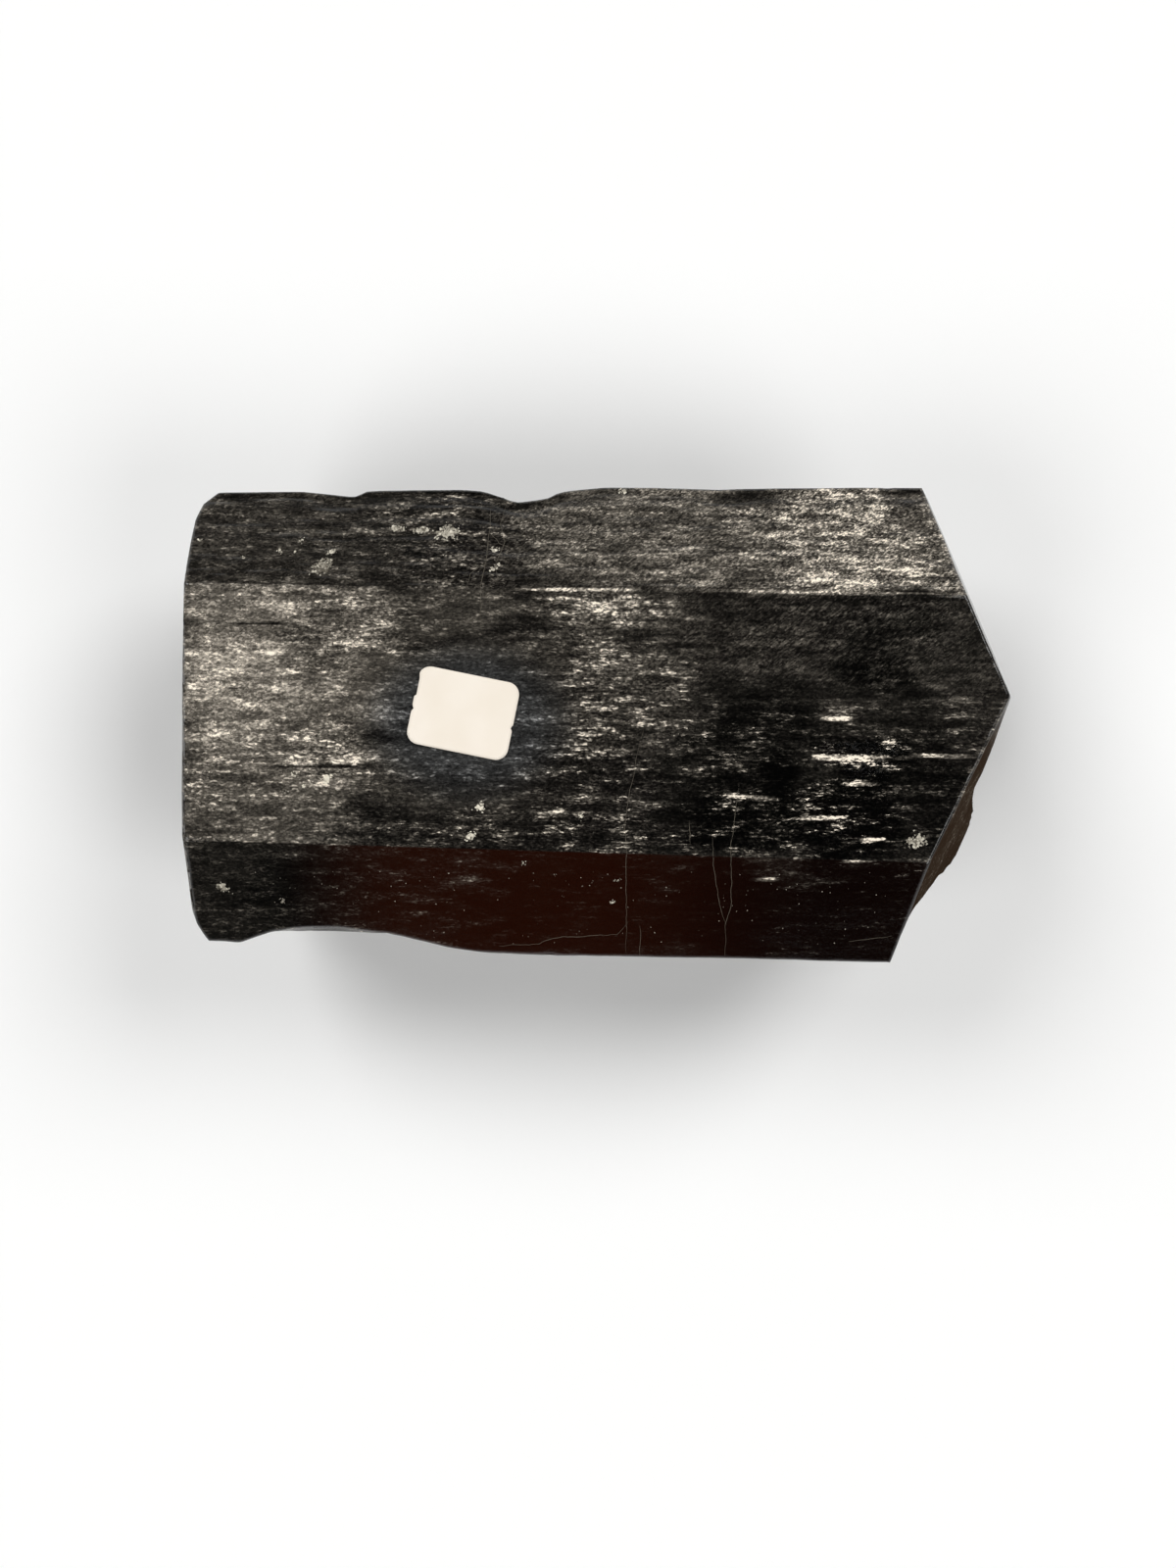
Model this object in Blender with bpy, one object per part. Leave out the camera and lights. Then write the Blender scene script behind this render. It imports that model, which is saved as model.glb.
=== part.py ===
"""A large black tourmaline prism lying on its broken side, with a paper label on its top face.

Metres, +Z up. The crystal's long axis, its c axis, runs along X, with the natural termination at +X
and the break at -X. The top face is one of the trigonal prism's three m faces. Near means towards
-Y and far towards +Y. The origin is under the middle of the crystal, in the plane it rests on.
"""

import math

import bmesh
import bpy
from mathutils import Matrix, Vector

MM = 0.001

# The crystal as a whole.
HEIGHT = 78 * MM  # underside to top face
C_AXIS_HEIGHT = 30.4 * MM  # the middle of the prism, were it whole
HALF_LENGTH = 100.8 * MM

# Prism faces, named from where they lie: azimuth about the c axis from straight up towards +Y, in
# degrees, distance from the c axis, and flare, the angle by which the face opens towards +X.
# In a whole tourmaline the azimuths are multiples of 30 degrees.
PRISM_FACES = {
    "top": (0, HEIGHT - C_AXIS_HEIGHT, 0.0),
    "far_bevel": (30, 57.3 * MM, -0.55),
    "near_bevel": (-30, 56.8 * MM, 0.87),
    "far_side": (90, 58.8 * MM, 0.65),
    "near_side": (-90, 57.3 * MM, 1.75),
    "far_under": (120, 48.5 * MM, 0.4),
    "near_under": (-120, 47.0 * MM, 0.9),
}

# Termination: the two pyramid faces that look up, through the tip. Azimuth as above, and tilt from
# the c axis. The crystal's pyramid faces stand at about 27 degrees.
TIP = Vector((99.5 * MM, 6.5 * MM, HEIGHT))
PYRAMID_FACES = {"far": (58.7, 26.6), "near": (-54.1, 30.8)}

# Under the tip the end is broken: a ragged wall, in plan from the far side round to the near side,
# in millimetres, and below it breaks that lean in.
BROKEN_END = [
    (93.0, 70.0),
    (99.3, 20.0),
    (100.6, 6.7),
    (99.3, 1.4),
    (98.0, -5.0),
    (96.1, -11.8),
    (93.9, -15.7),
    (94.8, -18.2),
    (97.5, -21.4),
    (98.1, -24.7),
    (97.3, -27.8),
    (94.9, -33.6),
    (92.0, -36.6),
    (86.2, -39.4),
    (81.8, -43.1),
    (77.6, -46.2),
    (75.2, -52.3),
    (73.5, -58.3),
    (70.0, -70.0),
]
UNDERCUTS = {
    # azimuth, lean from the c axis, and the height at which it meets the end's furthest reach
    "below_tip": (180.0, 24.0, 33 * MM),
    "below_far_side": (150.0, 38.0, 41 * MM),
}

# The base end is a break across the crystal, in plan from the near side round to the far side, with
# a bruised top edge and two lost corners.
BASE_END = [
    (-87.0, -70.0),
    (-94.2, -57.0),
    (-96.5, -54.1),
    (-98.6, -50.3),
    (-100.9, -44.8),
    (-100.6, -38.0),
    (-101.0, -20.0),
    (-100.8, 4.0),
    (-100.2, 25.0),
    (-99.6, 42.0),
    (-98.9, 50.0),
    (-97.3, 54.6),
    (-93.0, 58.4),
    (-85.0, 70.0),
]
BASE_LEAN = 4.0  # degrees: the break leans in towards the underside
BASE_BRUISE_TILT = 52.0  # degrees from the top face
BASE_BRUISE = 1.5 * MM  # how far in along the top face the bruise reaches

# Chips: ellipsoids that bite into the long edges, as centre, then half axes, in millimetres.
CHIPS = {
    "near_edge_scoop": ((-64.5, -79.7, 55.0), (50.3, 30.0, 39.0)),
    "far_edge_notch": ((-19.0, 66.6, 66.0), (14.5, 11.0, 26.0)),
    "far_edge_nick": ((-64.0, 62.2, 68.0), (9.0, 5.6, 9.0)),
    "underside_hollow": ((18.0, 8.0, -46.0), (60.0, 40.0, 49.0)),
    "far_under_scar": ((38.0, 66.0, 8.0), (46.0, 22.0, 24.0)),
    "near_under_scar": ((8.0, -70.0, 2.0), (58.0, 26.0, 20.0)),
}
CHIP_DETAIL = 3  # subdivisions of the ball that cuts each chip
CUT_SLACK = 4 * MM  # how far the blank stands over the planes that trim it

# The label: a paper rectangle with rounded corners, 1 inch by 3/4 inch with its edges trimmed.
LABEL_SIZE = (24.7 * MM, 19.0 * MM)
LABEL_CORNER = 3.0 * MM
LABEL_THICKNESS = 0.25 * MM
LABEL_CENTRE = (-32.3 * MM, 2.3 * MM)
LABEL_TURN = -11.5  # degrees, seen from above
LABEL_GAP = 0.3 * MM
CORNER_STEPS = 6

SCHORL = ("Schorl", (0.012, 0.011, 0.012), 0.35)
PAPER = ("Label paper", (0.86, 0.80, 0.71), 0.75)


def clear_scene():
    for obj in list(bpy.data.objects):
        bpy.data.objects.remove(obj)


def new_collection(name):
    collection = bpy.data.collections.new(name)
    bpy.context.scene.collection.children.link(collection)
    return collection


def new_material(name, color, roughness):
    material = bpy.data.materials.new(name)
    material.use_nodes = True
    shader = material.node_tree.nodes["Principled BSDF"]
    shader.inputs["Base Color"].default_value = (*color, 1.0)
    shader.inputs["Roughness"].default_value = roughness
    shader.inputs["Metallic"].default_value = 0.0
    return material


def face_normal(azimuth, lift):
    """The direction `lift` degrees up from the cross-section's plane towards +X, at this azimuth."""
    azimuth, lift = math.radians(azimuth), math.radians(lift)
    across = math.cos(lift)
    return Vector((math.sin(lift), across * math.sin(azimuth), across * math.cos(azimuth)))


def plan_plate(name, points_mm, low, high, collection):
    """A flat outline in plan, extruded from one height to the other, as a closed mesh object."""
    curve = bpy.data.curves.new(name, "CURVE")
    curve.dimensions = "2D"
    curve.fill_mode = "BOTH"
    curve.extrude = (high - low) / 2
    spline = curve.splines.new("POLY")
    spline.points.add(len(points_mm) - 1)
    for point, (x, y) in zip(spline.points, points_mm):
        point.co = (x * MM, y * MM, 0, 1)
    spline.use_cyclic_u = True
    outline = bpy.data.objects.new(name + "_outline", curve)
    collection.objects.link(outline)
    outline.location.z = (low + high) / 2
    bpy.context.view_layer.update()

    evaluated = outline.evaluated_get(bpy.context.evaluated_depsgraph_get())
    mesh = bpy.data.meshes.new_from_object(evaluated)
    mesh.transform(outline.matrix_world)
    bpy.data.objects.remove(outline)
    weld = bmesh.new()
    weld.from_mesh(mesh)
    bmesh.ops.remove_doubles(weld, verts=weld.verts, dist=1e-6)
    weld.to_mesh(mesh)
    weld.free()
    mesh.name = name
    plate = bpy.data.objects.new(name, mesh)
    collection.objects.link(plate)
    return plate


def trim(solid, point, normal):
    """Cuts away what lies in front of the plane through the point, and closes the cut."""
    geometry = solid.verts[:] + solid.edges[:] + solid.faces[:]
    cut = bmesh.ops.bisect_plane(
        solid, geom=geometry, dist=1e-7, plane_co=point, plane_no=normal, clear_outer=True
    )
    rim = [item for item in cut["geom_cut"] if isinstance(item, bmesh.types.BMEdge)]
    bmesh.ops.contextual_create(solid, geom=rim)


def trim_to_crystal_faces(solid):
    axis_point = Vector((0, 0, C_AXIS_HEIGHT))
    for azimuth, distance, flare in PRISM_FACES.values():
        normal = face_normal(azimuth, -flare)
        trim(solid, axis_point + face_normal(azimuth, 0) * distance, normal)
    for azimuth, tilt in PYRAMID_FACES.values():
        trim(solid, TIP, face_normal(azimuth, 90 - tilt))


def trim_to_breaks(solid):
    trim(solid, Vector((0, 0, 0)), Vector((0, 0, -1)))
    for azimuth, lean, height in UNDERCUTS.values():
        trim(solid, Vector((HALF_LENGTH, 0, height)), face_normal(azimuth, 90 - lean))
    base = Vector((-HALF_LENGTH, 0, HEIGHT))
    trim(solid, base, -face_normal(0, 90 - BASE_LEAN))
    tilt = math.radians(BASE_BRUISE_TILT)
    trim(solid, base + Vector((BASE_BRUISE, 0, 0)), Vector((-math.sin(tilt), 0, math.cos(tilt))))


def chip_cutter(name, centre_mm, half_axes_mm, collection):
    """A ball stretched to the half axes, where a flake left the crystal."""
    mesh = bpy.data.meshes.new(name)
    ball = bmesh.new()
    stretch = Matrix.Diagonal(Vector(half_axes_mm) * MM).to_4x4()
    place = Matrix.Translation(Vector(centre_mm) * MM) @ stretch
    bmesh.ops.create_icosphere(ball, subdivisions=CHIP_DETAIL, radius=1.0, matrix=place)
    ball.to_mesh(mesh)
    ball.free()
    cutter = bpy.data.objects.new(name, mesh)
    cutter.hide_render = True
    cutter.display_type = "WIRE"
    collection.objects.link(cutter)
    return cutter


def make_crystal(parts, cutters):
    outline = BROKEN_END + BASE_END
    crystal = plan_plate("crystal", outline, -CUT_SLACK, HEIGHT + CUT_SLACK, parts)
    solid = bmesh.new()
    solid.from_mesh(crystal.data)
    trim_to_crystal_faces(solid)
    trim_to_breaks(solid)
    bmesh.ops.recalc_face_normals(solid, faces=solid.faces)
    solid.to_mesh(crystal.data)
    solid.free()
    for name, (centre, half_axes) in CHIPS.items():
        chip = crystal.modifiers.new(name, "BOOLEAN")
        chip.operation = "DIFFERENCE"
        chip.solver = "EXACT"
        chip.object = chip_cutter(name, centre, half_axes, cutters)
    crystal.data.materials.append(new_material(*SCHORL))
    return crystal


def rounded_rectangle(width, depth, radius):
    """The corners' arcs, anticlockwise from the right-hand one at the top, in millimetres."""
    points = []
    for corner, (side_x, side_y) in enumerate([(1, 1), (-1, 1), (-1, -1), (1, -1)]):
        for step in range(CORNER_STEPS + 1):
            angle = math.radians(90 * (corner + step / CORNER_STEPS))
            x = side_x * (width / 2 - radius) + radius * math.cos(angle)
            y = side_y * (depth / 2 - radius) + radius * math.sin(angle)
            points.append((x / MM, y / MM))
    return points


def make_label(parts):
    outline = rounded_rectangle(*LABEL_SIZE, LABEL_CORNER)
    label = plan_plate("price_label", outline, 0.0, LABEL_THICKNESS, parts)
    label.location = (*LABEL_CENTRE, HEIGHT + LABEL_GAP)
    label.rotation_euler.z = math.radians(LABEL_TURN)
    label.data.materials.append(new_material(*PAPER))
    return label


def main():
    clear_scene()
    parts = new_collection("tourmaline_crystal")
    cutters = new_collection("chip_cutters")
    make_crystal(parts, cutters)
    make_label(parts)


main()
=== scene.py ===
"""A large black tourmaline prism with its paper label, for Blender 4.5.

The crystal's long axis, its c axis, runs along X with the pyramid end at +X, and its top face looks
up along Z. Near means towards -Y and far towards +Y. Shapes are worked out in millimetres and put
into the meshes in metres. A place on the upper faces is given in plan, as x and y.
"""

import functools
import itertools
import math
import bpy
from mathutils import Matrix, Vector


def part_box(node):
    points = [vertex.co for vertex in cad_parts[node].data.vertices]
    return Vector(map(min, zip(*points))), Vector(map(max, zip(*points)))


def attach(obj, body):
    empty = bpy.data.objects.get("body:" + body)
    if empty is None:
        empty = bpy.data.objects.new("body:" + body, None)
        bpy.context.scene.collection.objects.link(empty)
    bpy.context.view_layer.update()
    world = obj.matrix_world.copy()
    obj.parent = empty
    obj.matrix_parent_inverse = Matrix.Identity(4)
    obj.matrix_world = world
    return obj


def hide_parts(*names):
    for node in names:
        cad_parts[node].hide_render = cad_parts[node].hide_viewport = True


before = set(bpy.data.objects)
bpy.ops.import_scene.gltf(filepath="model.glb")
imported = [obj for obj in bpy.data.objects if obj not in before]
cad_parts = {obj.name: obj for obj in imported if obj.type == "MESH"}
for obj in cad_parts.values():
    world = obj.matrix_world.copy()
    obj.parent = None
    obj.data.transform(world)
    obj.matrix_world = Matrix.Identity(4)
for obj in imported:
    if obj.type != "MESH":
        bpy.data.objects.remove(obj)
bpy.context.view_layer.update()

from types import SimpleNamespace

import bpy
import numpy as np
from mathutils import Vector

bl_info = {
    "name": "Tourmaline Crystal",
    "version": (1, 0, 0),
    "blender": (4, 5, 0),
    "location": "3D View > Sidebar > Tourmaline",
    "description": "Builds a labelled black tourmaline crystal in a plain studio",
    "category": "Add Mesh",
}

MM = 0.001
MICRON = MM / 1000
CRYSTAL_HIGH = np.array(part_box("crystal")[1]) / MM
LABEL_LOW, LABEL_HIGH = (np.array(corner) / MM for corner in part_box("price_label"))
HEIGHT = float(CRYSTAL_HIGH[2])

# The prism faces in order round the c axis from the top face: azimuth from straight up towards +Y
# in degrees, distance from the axis, flare towards +X in degrees, the grid's columns across it, and
# how strong its striations are.
C_AXIS_HEIGHT = 30.4
PRISM_FACES = {
    "top": (0, HEIGHT - C_AXIS_HEIGHT, 0.0, 128, 0.7),
    "far_bevel": (30, 57.3, -0.55, 60, 0.9),
    "far_side": (90, 58.8, 0.65, 56, 7.0),
    "far_under": (120, 48.5, 0.4, 64, 7.0),
    "underside": (180, C_AXIS_HEIGHT, 0.0, 24, 0.0),
    "near_under": (-120, 47.0, 0.9, 64, 7.0),
    "near_side": (-90, 57.3, 1.75, 56, 7.0),
    "near_bevel": (-30, 56.8, 0.87, 60, 0.12),
}
FACE_NAMES = list(PRISM_FACES)
NUMBER = {name: number for number, name in enumerate(PRISM_FACES)}
TIP = (99.5, 6.5, HEIGHT)
# Azimuth of each pyramid face's normal, and its angle from the c axis, in degrees.
PYRAMID_FACES = ((58.7, 26.6), (-54.1, 30.8))
RIDGE_BLEND = 0.5  # over which they run into each other
PYRAMID_ETCHING = 0.12  # how deep they are etched

# The long edges between bevel and side in plan. Chips, a notch and a wide scoop are in them.
FAR_EDGE = (
    (-104.0, 57.6), (-78.0, 58.1), (-73.0, 58.1), (-65.8, 57.3), (-60.4, 56.7), (-58.9, 57.0),
    (-57.9, 58.2), (-54.0, 58.5), (-33.8, 58.8), (-28.8, 58.4), (-24.9, 57.4), (-21.5, 55.6),
    (-18.0, 55.4), (-12.5, 56.3), (-9.4, 58.0), (-5.5, 58.6), (2.1, 59.4), (14.7, 59.3),
    (30.8, 58.8), (36.6, 59.1), (66.6, 59.5), (90.0, 59.5),
)
NEAR_EDGE = (
    (-104.0, -53.9), (-92.6, -54.1), (-88.7, -54.5), (-85.2, -53.2), (-80.7, -51.7),
    (-75.8, -50.7), (-70.6, -50.3), (-63.3, -50.4), (-56.1, -51.4), (-49.1, -52.5),
    (-42.9, -54.1), (-37.1, -55.6), (-31.5, -56.4), (-27.0, -57.0), (-11.5, -57.7),
    (3.5, -57.9), (36.6, -58.5), (66.6, -59.3), (90.0, -59.3),
)
EDGE_SOFTNESS = 0.8  # over which an edge's corners are rounded
# The face that starts at each of them: the bevel that its height comes from, and its line.
OUTER_EDGES = {"far_side": ("far_bevel", FAR_EDGE), "near_bevel": ("near_bevel", NEAR_EDGE)}

# The ragged wall under the pyramid in plan, from the near side to the far side, and the breaks that
# lean in below it: azimuth, lean, and the height at which each meets the end's furthest reach.
HALF_LENGTH = 100.8
BROKEN_END = (
    (70.0, -70.0), (73.5, -58.3), (75.2, -52.3), (77.6, -46.2), (81.8, -43.1), (86.2, -39.4),
    (92.0, -36.6), (94.9, -33.6), (97.3, -27.8), (98.1, -24.7), (97.5, -21.4), (94.8, -18.2),
    (93.9, -15.7), (96.1, -11.8), (98.0, -5.0), (99.3, 1.4), (100.6, 6.7), (99.3, 20.0),
    (93.0, 70.0),
)
UNDERCUTS = ((180.0, 24.0, 33.0), (150.0, 38.0, 41.0))
UNDERCUT_BLEND = 4.0  # over which they run into the wall and into each other
RIM_BLEND = 0.8  # over which the pyramid runs into the break

# The break at the base end in plan, its lean towards the underside and its bruised top edge.
BASE_END = (
    (-87.0, -70.0), (-94.2, -57.0), (-96.5, -54.1), (-98.6, -50.3), (-100.9, -44.8),
    (-100.6, -38.0), (-101.0, -20.0), (-100.8, 4.0), (-100.2, 25.0), (-99.6, 42.0),
    (-98.9, 50.0), (-97.3, 54.6), (-93.0, 58.4), (-85.0, 70.0),
)
BASE_LEAN = 4.0  # degrees
BASE_BRUISE_TILT = 52.0  # degrees from the top face
BASE_BRUISE = 1.5  # how far in it begins, at the top
LEAN_BLEND, BRUISE_BLEND = 1.0, 0.5  # over which the wall runs into its lean and into the bruise

# Scars where flakes came off, as ellipsoids: centre, then half axes.
SCARS = (
    ((-64.5, -79.7, 55.0), (50.3, 29.3, 39.0)),  # the scoop in the near edge
    ((-19.0, 66.6, 66.0), (14.5, 10.6, 26.0)),  # the notch in the far edge
    ((-64.0, 62.2, 68.0), (9.0, 5.2, 9.0)),  # the nick in the far edge
    ((18.0, 8.0, -46.0), (60.0, 40.0, 49.0)),  # the hollow underneath
    ((38.0, 66.0, 8.0), (46.0, 22.0, 24.0)),  # the scar low on the far side
)
UNEVEN_SCARS = 0.07  # of their half axes, for what lies low down
UNEVEN_BELOW = (60, 45)  # the heights between which that sets in

# The relief. Hollows in breaks: size and depth. Striations: length and width of their facets, and
# depth against the narrow ones. Flake steps: length and width, where the noise makes one, and the
# striations' strength from which on they are no deeper.
BREAK_HOLLOWS = ((30, 4.5), (11, 1.6), (4.5, 0.5))
END_DEEPENS, BASE_DEEPENS = (0.5, 6.0), (1, 12)  # how far from the edge hollows start, and are full
RIBS = ((90, 3.4, 2.2), (45, 1.5, 1.0))
RIB_FADE = 2.5  # over which striations fade out at an edge
FLAKE_STEP, STEP_EDGE, FULL_STEPS = (11, 1.9), (0.1, 0.22), 2.0
WAVE_DEPTH = 0.18
# Wear and nicks along edges: depth, what an outer edge adds, and how far in from the edge.
WEAR = (0.07, 0.2, 0.4)
NICKS = (0.25, 0.65, 0.9)
OUTER_REACH = 1.5  # how far in an outer edge adds its part
SCAR_HOLLOWS = 0.3  # how deep hollows are in a scar, against those in a break

BODY_ROWS = 124
CAP_ROWS = 30
COLUMN_CROWDING, ROW_CROWDING = 0.3, 0.35  # towards a face's edges and towards the crystal's ends
END_CENTRE = (2.05, 33.0)  # y and z where the pyramid end's rings close, on its ridge
BASE_CENTRE = (0.0, 40.0)
SETTLE_ROUNDS = 12  # until the ends and the striations that meet them agree

# Frosting, where etching and fine breaks scatter light, and painted sheen: the sheen and glints of
# lamps in the faces are painted into the same pale colour. Each patch is a soft oval in plan:
# centre, half size, tone and grain. Tone is how pale its middle value looks, from 0 to 1, and grain
# is how far its flakes spread about that, as the standard deviation of the albedo's logarithm.
# Later patches lie over earlier ones.
FROST_AND_SHEEN = {
    "top": (
        (-80, 2, 23, 36, 0.39, 0.56),
        (-86, 11, 14, 14, 0.53, 0.56),
        (-84, 27, 19, 5, 0.43, 0.54),
        (-82, -21, 19, 9, 0.3, 0.5),
        (-59, 22, 14, 11, 0.37, 0.72),
        (-65, -6, 9, 6, 0.42, 0.8),
        (-52, 9, 9, 10, 0.36, 0.5),
        (-31, 4, 20, 21, 0.225, 0.35),
        (-33, 27, 15, 6, 0.245, 0.42),
        (-34, -18, 20, 6, 0.19, 0.4),
        (-33, -27, 22, 6, 0.15, 0.7),
        (5, 28, 18, 5, 0.24, 0.72),
        (4, 28, 8, 5, 0.35, 0.95),
        (5, 9, 18, 15, 0.265, 0.75),
        (-13, 2, 6, 14, 0.215, 0.42),
        (2, -17, 15, 13, 0.165, 0.78),
        (0, -25, 13, 5, 0.125, 0.78),
        (43, 20, 23, 10, 0.155, 0.68),
        (74, 22, 16, 9, 0.135, 0.8),
        (38, -5, 16, 10, 0.09, 0.72),
        (36, -24, 15, 8, 0.07, 1.05),
        (44, -12, 5, 5, 0.04, 0.8),
        (61, -22, 12, 11, 0.05, 1.15),
        (64, -8, 12, 4, 0.046, 1.8),
        (88, 10, 10, 14, 0.175, 0.55),
        (66, 12, 7, 5, 0.07, 1.0),
        (82, -17, 9, 14, 0.08, 0.65),
    ),
    "far_bevel": (
        (-76, 46, 28, 16, 0.19, 0.6),
        (-31, 46, 20, 16, 0.165, 0.95),
        (14, 47, 27, 16, 0.3, 0.72),
        (60, 52, 19, 8, 0.39, 1.0),
        (62, 39, 20, 8, 0.44, 0.95),
        (86, 45, 9, 16, 0.345, 0.9),
    ),
    "near_bevel": (
        (-90, -42, 13, 18, 0.13, 0.45),
        (-54, -42, 25, 18, 0.075, 0.6),
        (-5, -46, 28, 20, 0.04, 0.5),
        (32, -46, 14, 20, 0.03, 0.45),
        (66, -46, 24, 20, 0.025, 0.8),
    ),
}
SIDES = ("far_side", "far_under", "near_under", "near_side")
# Tone and grain on the faces that the patches don't reach and on broken surfaces, and how much the
# tone varies there, as the most that its logarithm changes. Then the tone of two worn rims.
SIDE_FROST = (0.13, 0.55, 1.1)
BREAK_FROST = (0.16, 0.85, 0.6)
BRUISE_FROST = 0.3
RIM_FROST = 0.28
FRAY = 0.6  # how far a patch's rim is frayed, against its half size
COOL_PATCH = (-31.0, 0.0, 22.0, 17.0)  # cooler frosting and painted sheen round the label: centre, half size

# The places, in plan, between which a pattern sets in, and how strong it is.
LONG_FLAKES = (-70, 20)  # by x less y
TOP_SLANT = ((-15, 50), (0, 14), 1.0)
BASE_SLANT = ((-42, -62), (-14, 6), 0.35)
BEVEL_SLANT = ((-40, 0), 0.3, 0.55)  # the strength before, and what is added after
# The brown on the near bevel is a painted reflection of a brown surface, not the stone's colour.
BROWN_REFLECTION = ((-80, -45), (-8, 58), 0.8)  # then where the brown fades again, and by how much
NEAR_STAIN_AND_REFLECTION = ((16, -9), (5, 48))  # dull brown on the pyramid end, from iron and in part a painted brown reflection, by y and z
BREAK_STAIN = 0.45  # the most on any other break
STAIN_SHADE = 0.35  # how much less frosting there is where iron stains it and where a brown reflection is painted

# Painted highlights and painted shade along lines, where the edge of a growth layer catches the
# light or lies in its own shade: the palest tones are painted highlights and the darkest painted
# shade. Both ends in plan, half width, tone.
PAINTED_GLEAMS = (
    ((-88.2, 23.9), (-75.3, 23.9), 0.5, 0.05),
    ((-89.4, 8.4), (-84.7, 8.4), 0.5, 0.05),
    ((-78.8, -10.5), (-56.5, -10.5), 0.6, 0.08),
    ((-21, 32.2), (-8, 32.2), 0.4, 0.36),
    ((-13, 32.2), (10, 32.1), 0.6, 0.6),
    ((26, 32.0), (92, 31.0), 0.35, 0.45),
    ((53.3, 1.5), (61.5, 0.7), 0.45, 0.95),
    ((52, -8.2), (71, -8.4), 0.62, 1.0),
    ((71, -8.2), (91.4, -7.9), 0.4, 0.6),
    ((59.4, -14.7), (67.2, -14.7), 0.45, 0.85),
    ((46.9, -22.9), (59.4, -22.9), 0.45, 0.8),
    ((63.4, -28.1), (69.1, -28.1), 0.45, 0.8),
    ((58.3, -33.4), (66.3, -33.4), 0.4, 0.7),
    ((30.7, -17.4), (43.6, -18.5), 0.5, 0.75),
    ((38.0, -37.9), (43.9, -37.9), 0.5, 0.5),
)
PAINTED_GLEAM_GRAIN = 0.7

# Hairline cracks, healed with pale mineral, in plan.
CRACKS = (
    ((10.9, -1.5), (9.0, -10.2), (7.4, -18.9), (6.6, -24.6), (6.9, -29.3), (7.2, -57.0)),
    ((34.0, -14.9), (33.0, -22.2), (32.1, -29.3), (32.6, -44.4), (31.6, -49.4), (31.8, -58.0)),
    ((27.8, -27.4), (27.9, -34.3), (29.8, -44.4), (31.6, -49.4)),
    ((22.0, -23.6), (22.2, -29.3)),
    ((10.5, -49.6), (10.6, -57.6)),
    ((-24.4, -54.9), (-14.4, -54.4), (-13.0, -53.5), (-8.8, -52.7), (5.0, -51.9), (7.6, -48.6)),
    ((-26.3, 55.0), (-26.5, 47.4), (-27.0, 39.5), (-28.0, 33.9), (-28.2, 23.0)),
    ((62.0, -53.6), (72.5, -52.4)),
    ((-22.4, 55.0), (-23.8, 49.5), (-22.6, 44.6), (-24.6, 39.0), (-24.2, 34.2)),
    ((-26.5, 47.4), (-23.8, 44.2), (-21.0, 43.0)),
    ((-27.0, 39.5), (-30.6, 36.4), (-31.4, 33.2)),
)
CRACK_PALENESS = -0.3  # under 0 most of a crack has the crusts' darker colour
CRACK_STEPS, CRACK_SIDES = 72, 8
CRACK_WANDER = 0.35
CRACK_HEIGHT = 0.35  # against half its width

# Crusts of feldspar and mica: centre in plan, length, width, turn in degrees, thickness, and how
# pale each is from 0 to 1.
CRUSTS = (
    (-36.8, 46.9, 6.4, 4.2, 20, 0.25, 0.42),
    (-43.0, 47.7, 5.0, 1.6, 10, 0.2, 0.4),
    (-48.9, 48.2, 4.2, 1.5, 0, 0.25, 0.5),
    (-71.9, 45.0, 1.6, 1.3, 0, 0.3, 0.75),
    (-77.3, 41.9, 1.5, 1.7, 0, 0.3, 0.6),
    (-73.5, 41.9, 0.9, 0.8, 0, 0.3, 1.0),
    (-64.7, 41.7, 2.8, 1.3, 25, 0.3, 0.6),
    (-66.7, 38.1, 5.5, 4.0, 30, 0.15, 0.2),
    (-86.2, 40.6, 2.4, 0.8, -35, 0.2, 0.4),
    (-97.4, 45.0, 2.2, 0.7, 5, 0.2, 0.8),
    (-64.9, -13.5, 3.4, 1.8, 45, 0.35, 0.95),
    (-73.1, -12.6, 2.0, 1.6, 60, 0.25, 0.6),
    (-70.8, -15.4, 1.5, 1.2, 0, 0.3, 1.0),
    (-75.2, -16.6, 1.9, 1.2, 20, 0.2, 0.4),
    (-28.3, -20.3, 2.4, 2.2, 0, 0.4, 0.95),
    (-30.6, -27.4, 3.2, 1.8, 50, 0.3, 0.8),
    (-33.4, -25.6, 1.4, 0.8, 70, 0.2, 0.6),
    (-3.9, -22.5, 1.3, 1.9, 0, 0.3, 0.8),
    (-17.9, -33.9, 1.6, 1.2, 40, 0.2, 0.45),
    (4.8, -38.0, 2.0, 1.0, 10, 0.25, 0.55),
    (3.6, -43.5, 1.5, 1.3, 0, 0.25, 0.5),
    (76.6, -28.6, 5.0, 3.4, 15, 0.2, 0.4),
    (-91.4, -40.0, 3.8, 1.9, -35, 0.35, 0.35),
    (-77.2, -43.5, 1.4, 1.8, 20, 0.2, 0.45),
    (-25.0, 42.5, 2.6, 1.6, -40, 0.25, 0.6),
    (-24.8, 37.9, 3.4, 1.4, 35, 0.25, 0.6),
    (6.2, 58.2, 2.6, 1.4, 0, 0.3, 0.7),
)

GRAIN_SEED = 5
GRAINS_PER_AREA = 4.5  # in a square millimetre of a crust's length times its width
GRAINS_IN_CRUST = (6, 100)  # fewest and most
GRAIN_RADIUS = (0.22, 0.62)
GRAIN_SIDES = 7
# A grain's rings from its top down: how far out and how high, against its radius and thickness.
GRAIN_RINGS = ((0.55, 1.0), (1.0, 0.25), (0.6, -0.8))
STRAY_GRAINS, STRAY_REACH = 0.3, 0.4  # the share that strays, and how far, against the crust's size
STREWN = 150  # single grains on the near bevel
STREWN_X, STREWN_Y, STREWN_RADIUS = (-85, 70), (-36, -55), (0.05, 0.14)

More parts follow.
